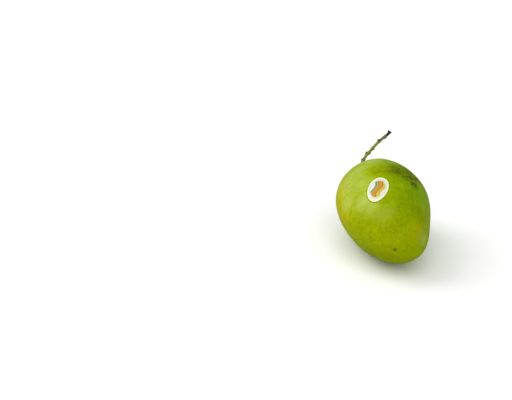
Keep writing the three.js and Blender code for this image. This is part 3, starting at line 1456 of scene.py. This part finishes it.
@dataclass(frozen=True)
class BarkFinish:
    """Olive bark with tan streaks, greyer toward the cut, with dark scars and a near-black cut end."""

    olive: Colour = screen_colour(130, 128, 60)
    tan: Colour = screen_colour(156, 138, 92)
    grey: Colour = screen_colour(94, 98, 66)
    fresh: Colour = screen_colour(140, 148, 46)
    scar: Colour = screen_colour(66, 56, 16)
    cut: Colour = screen_colour(52, 46, 28)
    wood: Colour = screen_colour(104, 84, 52)
    pith: Colour = screen_colour(44, 34, 22)
    length: float = 52 * MM
    node_at: float = 21 * MM
    node_reach: float = 5 * MM
    year_rings: float = 38.0
    relief: float = 0.25 * MM

    def build(self) -> Material:
        """Makes the material.

        Returns:
            The material.
        """
        sheet = FinishSheet("olive_bark", self.olive)
        distance = sheet.number(sheet.read("stalk_distance"), "Fac")
        scar = sheet.number(sheet.read("stub_scar"), "Fac")
        x, y, _ = sheet.split(sheet.read("stalk_round").outputs["Vector"])
        along_bark = sheet.join(x * 1.6, y * 1.6, distance * 110.0)
        streaks = sheet.noise(along_bark, 1.3, 4.0)
        sheet.lay(streaks.step(0.48, 0.66), self.tan)
        node = (distance - self.node_at).size().step(self.node_reach, 1 * MM)
        sheet.lay(node * 0.7, self.fresh)
        far = distance.step(self.length * 0.66, self.length * 0.95)
        sheet.lay(far * 0.8, self.grey)
        rough = sheet.mottle(900.0, 0.5, 0.75)
        sheet.lay((scar * 1.2).at_most(1.0).at_least(rough * 0.3), self.scar)
        sheet.lay(distance.step(self.length - 3.0 * MM, self.length - 1.0 * MM), self.cut)
        share = sheet.number(sheet.read("end_share"), "Fac")
        face = sheet.blend((share * self.year_rings).sine().step(-0.6, 0.8), self.wood, self.cut)
        face = sheet.blend(share.step(0.42, 0.3), face, self.pith)
        sheet.lay(share.step(0.93, 0.86) * distance.step(2 * MM, 4 * MM), face)
        ridges = sheet.noise(sheet.join(x * 4.0, y * 4.0, distance * 420.0), 1.4, 4.0)
        return sheet.finish(0.62 + 0.2 * streaks, ridges, self.relief, Specular_IOR_Level=0.3)


@dataclass
class Stalk:
    """The cut stalk in its basin, with stubs of side twigs and a flared dark end."""

    form: FruitForm
    finish: BarkFinish = BarkFinish()
    bends: tuple[Triple, ...] = (
        (-16, 64.5, 58.5),
        (-13.1, 69, 62.3),
        (-9.9, 72, 67.3),
        (-4.6, 75, 72.5),
        (1.4, 78, 78),
        (8, 80.5, 83.5),
        (13.6, 82.6, 87.4),
        (15.3, 83.1, 89.9),
    )
    radius: float = 1.42 * MM
    foot_radius: float = 2.7 * MM
    foot_height: float = 1.6 * MM
    cut_radius: float = 2.35 * MM
    cut_flare: float = 1.7 * MM
    rim: float = 0.5 * MM
    closing: float = 0.003 * MM
    merge: float = 0.002 * MM
    foot_sink: float = 0.3 * MM
    stubs_per_node: int = 2
    node_swelling: float = 0.3 * MM
    node_length: float = 1.9 * MM
    stub_height: float = 0.85 * MM
    ridge: float = 0.26 * MM
    stubs: tuple[Stub, ...] = (
        Stub(0.27, 0, 1.5 * MM),
        Stub(0.34, 250, 1.2 * MM),
        Stub(0.41, 10, 1.7 * MM),
        Stub(0.445, 178, 1.6 * MM),
        Stub(0.55, 195, 1.3 * MM),
        Stub(0.62, 262, 1.2 * MM),
        Stub(0.73, 28, 1.8 * MM),
        Stub(0.855, 185, 1.9 * MM),
    )
    rings: int = 300
    end_rings: int = 9
    sides: int = 56

    def route(self) -> Route:
        """The stalk's middle line, from inside the skin to the cut end.

        Returns:
            The line.
        """
        seat, axis = self.form.seat()
        lie = self.form.lie()
        foot = lie @ (seat - axis * (self.form.seat_depth + self.foot_sink))
        return Route([foot, *(Vector(bend) * MM for bend in self.bends)])

    def across(self, direction: Vector, turn: float) -> Vector:
        """The direction across the stalk, some degrees round from its upper side.

        Args:
            direction: Which way the stalk runs there.
            turn: How many degrees round.

        Returns:
            The direction.
        """
        upper = Vector((-1, 0, 1))
        upper = (upper - direction * upper.dot(direction)).normalized()
        return Matrix.Rotation(math.radians(turn), 3, direction) @ upper

    def thickness(self, distance: Field, length: Field) -> Field:
        """The radius at a distance from the foot, with its foot, nodes, flared cut and closed ends.

        Args:
            distance: How far from the foot.
            length: The whole length.

        Returns:
            The radius.
        """
        foot = (self.foot_radius - self.radius) * math.e ** (-((distance / self.foot_height) ** 2))
        from_cut = (length - distance) / self.cut_flare
        flare = (self.cut_radius - self.radius) * math.e ** (-(from_cut**2))
        nodes = sum(
            self.node_swelling * math.e ** (-(((distance - length * stub.at) / self.node_length) ** 2))
            for stub in self.stubs[:: self.stubs_per_node]
        )
        return (self.radius + foot + flare + nodes) * self.end_share(distance, length)

    def end_share(self, distance: Field, length: Field) -> Field:
        """How wide the rounded ends leave the stalk: 1 along it, 0 in the middle of an end.

        Args:
            distance: How far from the foot.
            length: The whole length.

        Returns:
            The share of the radius that is left.
        """
        start = (distance / self.rim).at_most(1.0)
        end = ((length - distance - self.closing) / self.rim).at_most(1.0).at_least(0.0)
        return (1 - (1 - start) ** 4) ** 0.25 * (1 - (1 - end) ** 4) ** 0.25

    def stub_masks(self, sheet: GeometrySheet, route: Route) -> tuple[Field, Field]:
        """How much each place of the bark belongs to a stub, and to a stub's scar.

        Args:
            sheet: The stalk's tree.
            route: The stalk's middle line.

        Returns:
            The two masks.
        """
        place = sheet.split(sheet.position())
        stubs, scars = [], []
        for stub in self.stubs:
            distance = stub.at * route.length
            out = self.across(route.direction(distance), stub.turn)
            middle = route.at(distance) + out * self.radius
            spread = squared_distance(place, middle) / stub.size**2
            stubs.append(math.e ** (-(spread**1.5)))
            scars.append(math.e ** (-((spread * 2.6) ** 2)))
        return sum(stubs[1:], stubs[0]), sum(scars[1:], scars[0])

    def lay_out(self, route: Route) -> GeometrySheet:
        """The tree that turns the middle line into bark.

        Args:
            route: The stalk's middle line.

        Returns:
            The tree's sheet.
        """
        sheet = GeometrySheet("Stalk")
        line = sheet.take("Line", "Geometry")
        length = sheet.take_number("Length", route.length)
        sides = sheet.take("Sides", "Int", self.sides)
        ridge = sheet.take_number("Ridge", self.ridge)
        stub_height = sheet.take_number("Stub Height", self.stub_height)
        distance = sheet.number(sheet.add("GeometryNodeSplineParameter"), "Length")
        measured = sheet.store(line, "stalk_distance", distance)
        shared = sheet.store(measured, "end_share", self.end_share(distance, length))
        radius = {"Curve": shared, "Radius": self.thickness(distance, length)}
        thick = sheet.result("GeometryNodeSetCurveRadius", radius)
        circle = sheet.result("GeometryNodeCurvePrimitiveCircle", {"Resolution": sides, "Radius": 1.0})
        profile = sheet.store(circle, "stalk_round", sheet.position(), "FLOAT_VECTOR")
        scale = sheet.result("GeometryNodeInputRadius")
        tube = sheet.result("GeometryNodeCurveToMesh",
                            {"Curve": thick, "Profile Curve": profile, "Scale": scale})
        closed = sheet.result("GeometryNodeMergeByDistance", {"Geometry": tube, "Distance": self.merge})
        bumps, scars = self.stub_masks(sheet, route)
        marked = sheet.store(closed, "stub_scar", scars)
        x, y, _ = sheet.split(sheet.recall("stalk_round", "FLOAT_VECTOR"))
        along = Field(sheet.tree, sheet.recall("stalk_distance"))
        broad = sheet.noise(sheet.join(x * 2.2, y * 2.2, along * 150.0), 1.0, 3.0) - 0.5
        bark = sheet.push(marked, bumps.at_most(1.0) * stub_height + broad * ridge)
        sheet.finish(bark, self.finish.build())
        return sheet

    def build(self) -> Piece:
        """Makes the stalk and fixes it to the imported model.

        Returns:
            The finished stalk.
        """
        route = self.route()
        ends = np.geomspace(0.01, 1.0, self.end_rings) * self.rim
        body = np.linspace(self.rim, route.length - self.rim, self.rings)
        distances = [0.0, *ends, *body[1:-1], *(route.length - ends[::-1]), route.length]
        curve = bpy.data.curves.new("line", "CURVE")
        curve.dimensions = "3D"
        spline = curve.splines.new("POLY")
        spline.points.add(len(distances) - 1)
        for point, distance in zip(spline.points, distances):
            point.co = (*route.at(distance), 1.0)
        piece = self.lay_out(route).grow("stalk", curve)
        mount_piece(piece, Slot.STEM, Solid.STEM)
        return piece


# The studio


@dataclass
class Studio:
    """The floor, the soft lights and the camera."""

    camera_place: Triple = (-146.4 * MM, -871.8 * MM, 426.8 * MM)
    camera_tilt: float = 66.7
    camera_heading: float = -1.54
    lens: float = 70.3
    sensor_width: float = 36.0
    floor_half: float = 12.0
    floor_drop: float = 0.05 * MM
    floor_tones: tuple[Colour, Colour] = (screen_colour(244, 244, 243), screen_colour(247, 247, 246))
    walls: float = 0.82
    ceiling: float = 0.66
    shaded_side: float = 0.5
    backdrop: float = 1.1

    def floor_finish(self) -> Material:
        """Matt pale board with the faintest cloudiness.

        Returns:
            The material.
        """
        sheet = FinishSheet("pale_board", self.floor_tones[0])
        cloud = sheet.mottle(6.0, 0.3, 0.7)
        sheet.lay(cloud, self.floor_tones[1])
        grain = sheet.noise(sheet.place, 800.0)
        return sheet.finish(0.8 + 0.1 * cloud, grain, 0.02 * MM, Specular_IOR_Level=0.2)

    def build_floor(self) -> None:
        """Lays the floor just under the fruit's flat spot."""
        half, low = self.floor_half, -self.floor_drop
        corners = [(-half, -half, low), (half, -half, low), (half, half, low), (-half, half, low)]
        mesh = bpy.data.meshes.new("studio_floor")
        mesh.from_pydata(corners, [], [(0, 1, 2, 3)])
        floor = show_mesh("studio_floor", mesh)
        mesh.materials.append(self.floor_finish())

    def add_sun(self, name: str, toward: Triple, width: float, strength: float) -> None:
        """Hangs one wide soft light, far away, so that it lights the whole floor evenly.

        Args:
            name: The light's name.
            toward: The direction in which it is seen from the fruit.
            width: How wide it looks from there, in degrees.
            strength: How strongly it lights what faces it, in watts per square metre.
        """
        lamp = bpy.data.lights.new(name, "SUN")
        lamp.angle = math.radians(width)
        lamp.energy = strength
        light = put_in_scene(name, lamp)
        light.rotation_euler = Vector(toward).to_track_quat("Z", "Y").to_euler()

    def build_sky(self) -> None:
        """Surrounds the set with soft light: bright walls under a dimmer ceiling."""
        world = bpy.data.worlds.new("soft_room")
        bpy.context.scene.world = world
        world.use_nodes = True
        sheet = Sheet(world.node_tree)
        direction = sheet.add("ShaderNodeTexCoord").outputs["Generated"]
        right, _, height = sheet.split(direction)
        strength = self.walls + (self.ceiling - self.walls) * height.step(0.0, 0.8)
        strength = strength * (1.0 + (self.shaded_side - 1.0) * right.step(-0.1, 0.8))
        seen = sheet.number(sheet.add("ShaderNodeLightPath"), "Is Camera Ray")
        strength = strength + seen * (self.backdrop - strength)
        ground = world.node_tree.nodes["Background"]
        ground.inputs["Color"].default_value = (1.0, 1.0, 1.0, 1.0)
        feed(world.node_tree, strength, ground.inputs["Strength"])

    def build_camera(self) -> None:
        """Sets the camera where the photograph was taken from."""
        data = bpy.data.cameras.new("camera")
        data.lens = self.lens
        data.sensor_width = self.sensor_width
        data.clip_end = 100.0
        camera = put_in_scene("camera", data)
        camera.location = self.camera_place
        camera.rotation_euler = Euler((math.radians(self.camera_tilt), 0, math.radians(self.camera_heading)))
        bpy.context.scene.camera = camera

    def build(self) -> None:
        """Makes the whole set."""
        self.build_camera()
        self.build_floor()
        self.build_sky()
        self.add_sun("window", (-0.74, 0.2, 0.64), 50.0, 0.85)
        self.add_sun("front", (0.15, -0.75, 0.65), 70.0, 1.15)
        bpy.context.scene.view_settings.view_transform = "Standard"
        bpy.context.scene.view_settings.look = "Medium High Contrast"


def skin_pores() -> Dots:
    """The skin's pale pores, closer together toward the apex.

    Returns:
        The pores.
    """
    finish = DotFinish("pale_pore", screen_colour(170, 180, 56), screen_colour(146, 150, 26), gloss=0.05)
    return Dots(
        name="skin_pores", slot=Slot.SKIN, finish=finish, spacing=2.2 * MM, density=9.0e4,
        radius=(0.12 * MM, 0.34 * MM), height_share=0.22, seed=11,
        crowding=lambda x, y, z: y.step(70 * MM, -60 * MM) * 0.75 + 0.25,
    )


def sap_specks(marks: SkinMarks, reach: float = 7 * MM) -> Dots:
    """Dark flecks of dried sap in the stained place on the upper cheek.

    Args:
        marks: The markings on the skin.
        reach: How far they go from the stain's middles.

    Returns:
        The flecks.
    """
    finish = DotFinish("dried_sap", screen_colour(60, 60, 0), screen_colour(38, 38, 0), 0.55, gloss=0.05)

    def crowding(*place: Field) -> Field:
        """Crowded near the middles of the stain and gone outside it."""
        spreads = [squared_distance(place, marks.form.at(*spot)) for spot in marks.specks]
        return reduce(Field.at_least, [spread.root().step(reach, reach * 0.2) for spread in spreads])

    return Dots(
        name="sap_specks", slot=Slot.SKIN, finish=finish, spacing=0.9 * MM, density=4.0e5,
        radius=(0.12 * MM, 0.66 * MM), height_share=0.16, seed=5, crowding=crowding, longest=3.0,
    )


def bark_warts() -> Dots:
    """The stalk's small pale warts.

    Returns:
        The warts.
    """
    finish = DotFinish("bark_wart", screen_colour(158, 146, 100), screen_colour(110, 96, 56), 0.75)
    return Dots(
        name="stalk_warts", slot=Slot.STEM, finish=finish, spacing=0.9 * MM, density=6.0e5,
        radius=(0.08 * MM, 0.2 * MM), height_share=0.5, seed=3,
        crowding=lambda x, y, z: z.step(88 * MM, 84 * MM), longest=1.8,
    )


def main() -> None:
    """Builds the set and every piece in order."""
    logging.basicConfig(level=logging.INFO, format="%(message)s")
    form = FruitForm()
    marks = SkinMarks(form)
    Studio().build()
    fruit = FruitBody(form, SkinFinish(marks=marks)).build()
    surface = Surface(fruit)
    skin_pores().build(fruit)
    sap_specks(marks).build(fruit)
    EndScar(Spot(marks.end_scar, form=form), surface).build()
    Label(marks.label, surface).build()
    stalk = Stalk(form).build()
    bark_warts().build(stalk)


if __name__ == "__main__":
    main()
